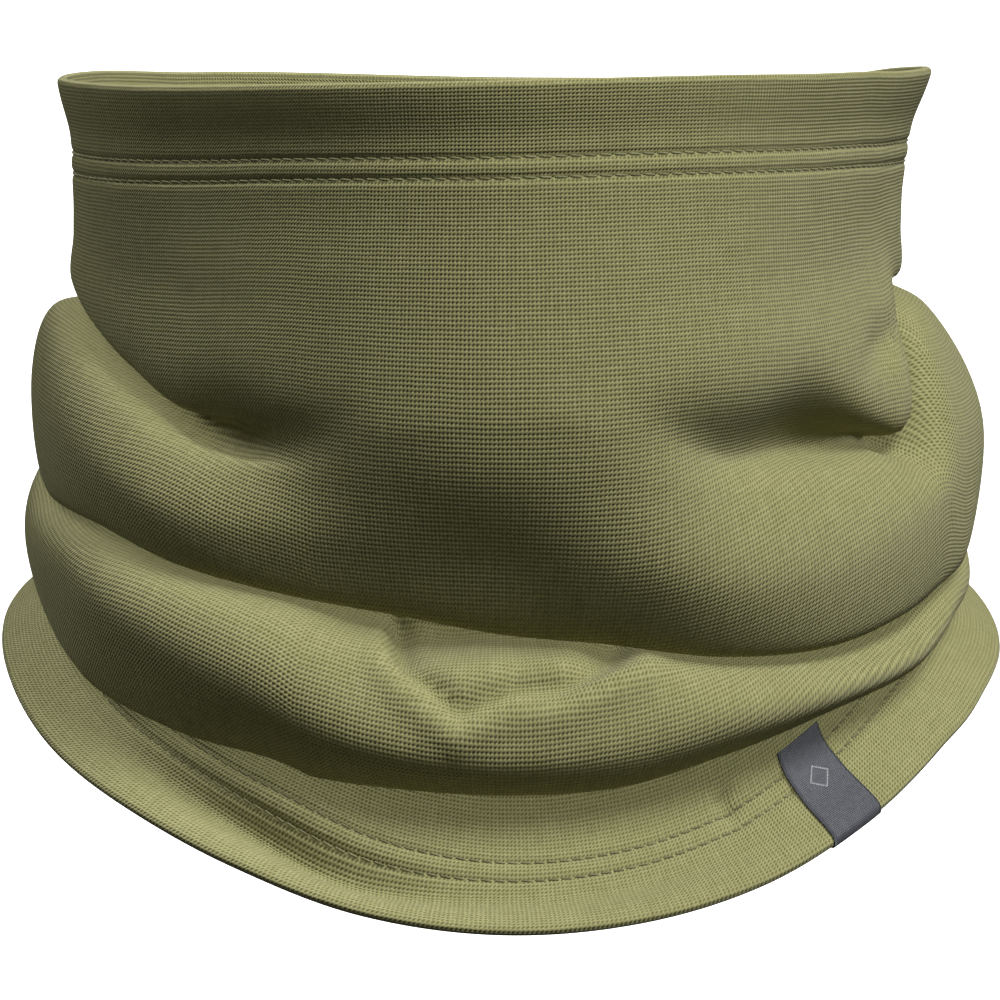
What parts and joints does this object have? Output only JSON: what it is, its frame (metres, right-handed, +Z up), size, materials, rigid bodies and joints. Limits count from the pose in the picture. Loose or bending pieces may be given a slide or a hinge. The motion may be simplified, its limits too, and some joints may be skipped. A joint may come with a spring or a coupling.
{
  "type": "neck gaiter",
  "caption": "Soft knitted tube worn round the neck and face, bunched into folds, with turned and stitched hems and a small woven label on the lower edge.",
  "frame": {"origin": "on the neck's axis, level with the lower hem at the wearer's left and right sides", "axes": "+Z up along the neck, -Y the wearer's front, +X to the right of someone facing the wearer"},
  "size_m": [0.1892, 0.1896, 0.1592],
  "materials": {
    "knit_cloth": "matt olive green knitted cloth",
    "sewing_thread": "olive green sewing thread",
    "label_satin": "slate grey woven satin ribbon"
  },
  "bodies": {
    "collar": {"tube_body": "knit_cloth", "bottom_hem": "knit_cloth", "bottom_hem_needle_thread_outer": "sewing_thread", "bottom_hem_needle_thread_inner": "sewing_thread", "bottom_hem_looper_thread": "sewing_thread", "side_seam": "sewing_thread", "woven_label": "label_satin"},
    "face_band": {"top_hem": "knit_cloth", "top_hem_needle_thread_outer": "sewing_thread", "top_hem_needle_thread_inner": "sewing_thread", "top_hem_looper_thread": "sewing_thread"}
  },
  "joints": [
    {"name": "top_hem_pull_down", "type": "slide", "parent": "collar", "child": "face_band", "axis": [0, 0, -1], "range_m": [0, 0.035], "deforming": ["tube_body", "side_seam"]}
  ]
}
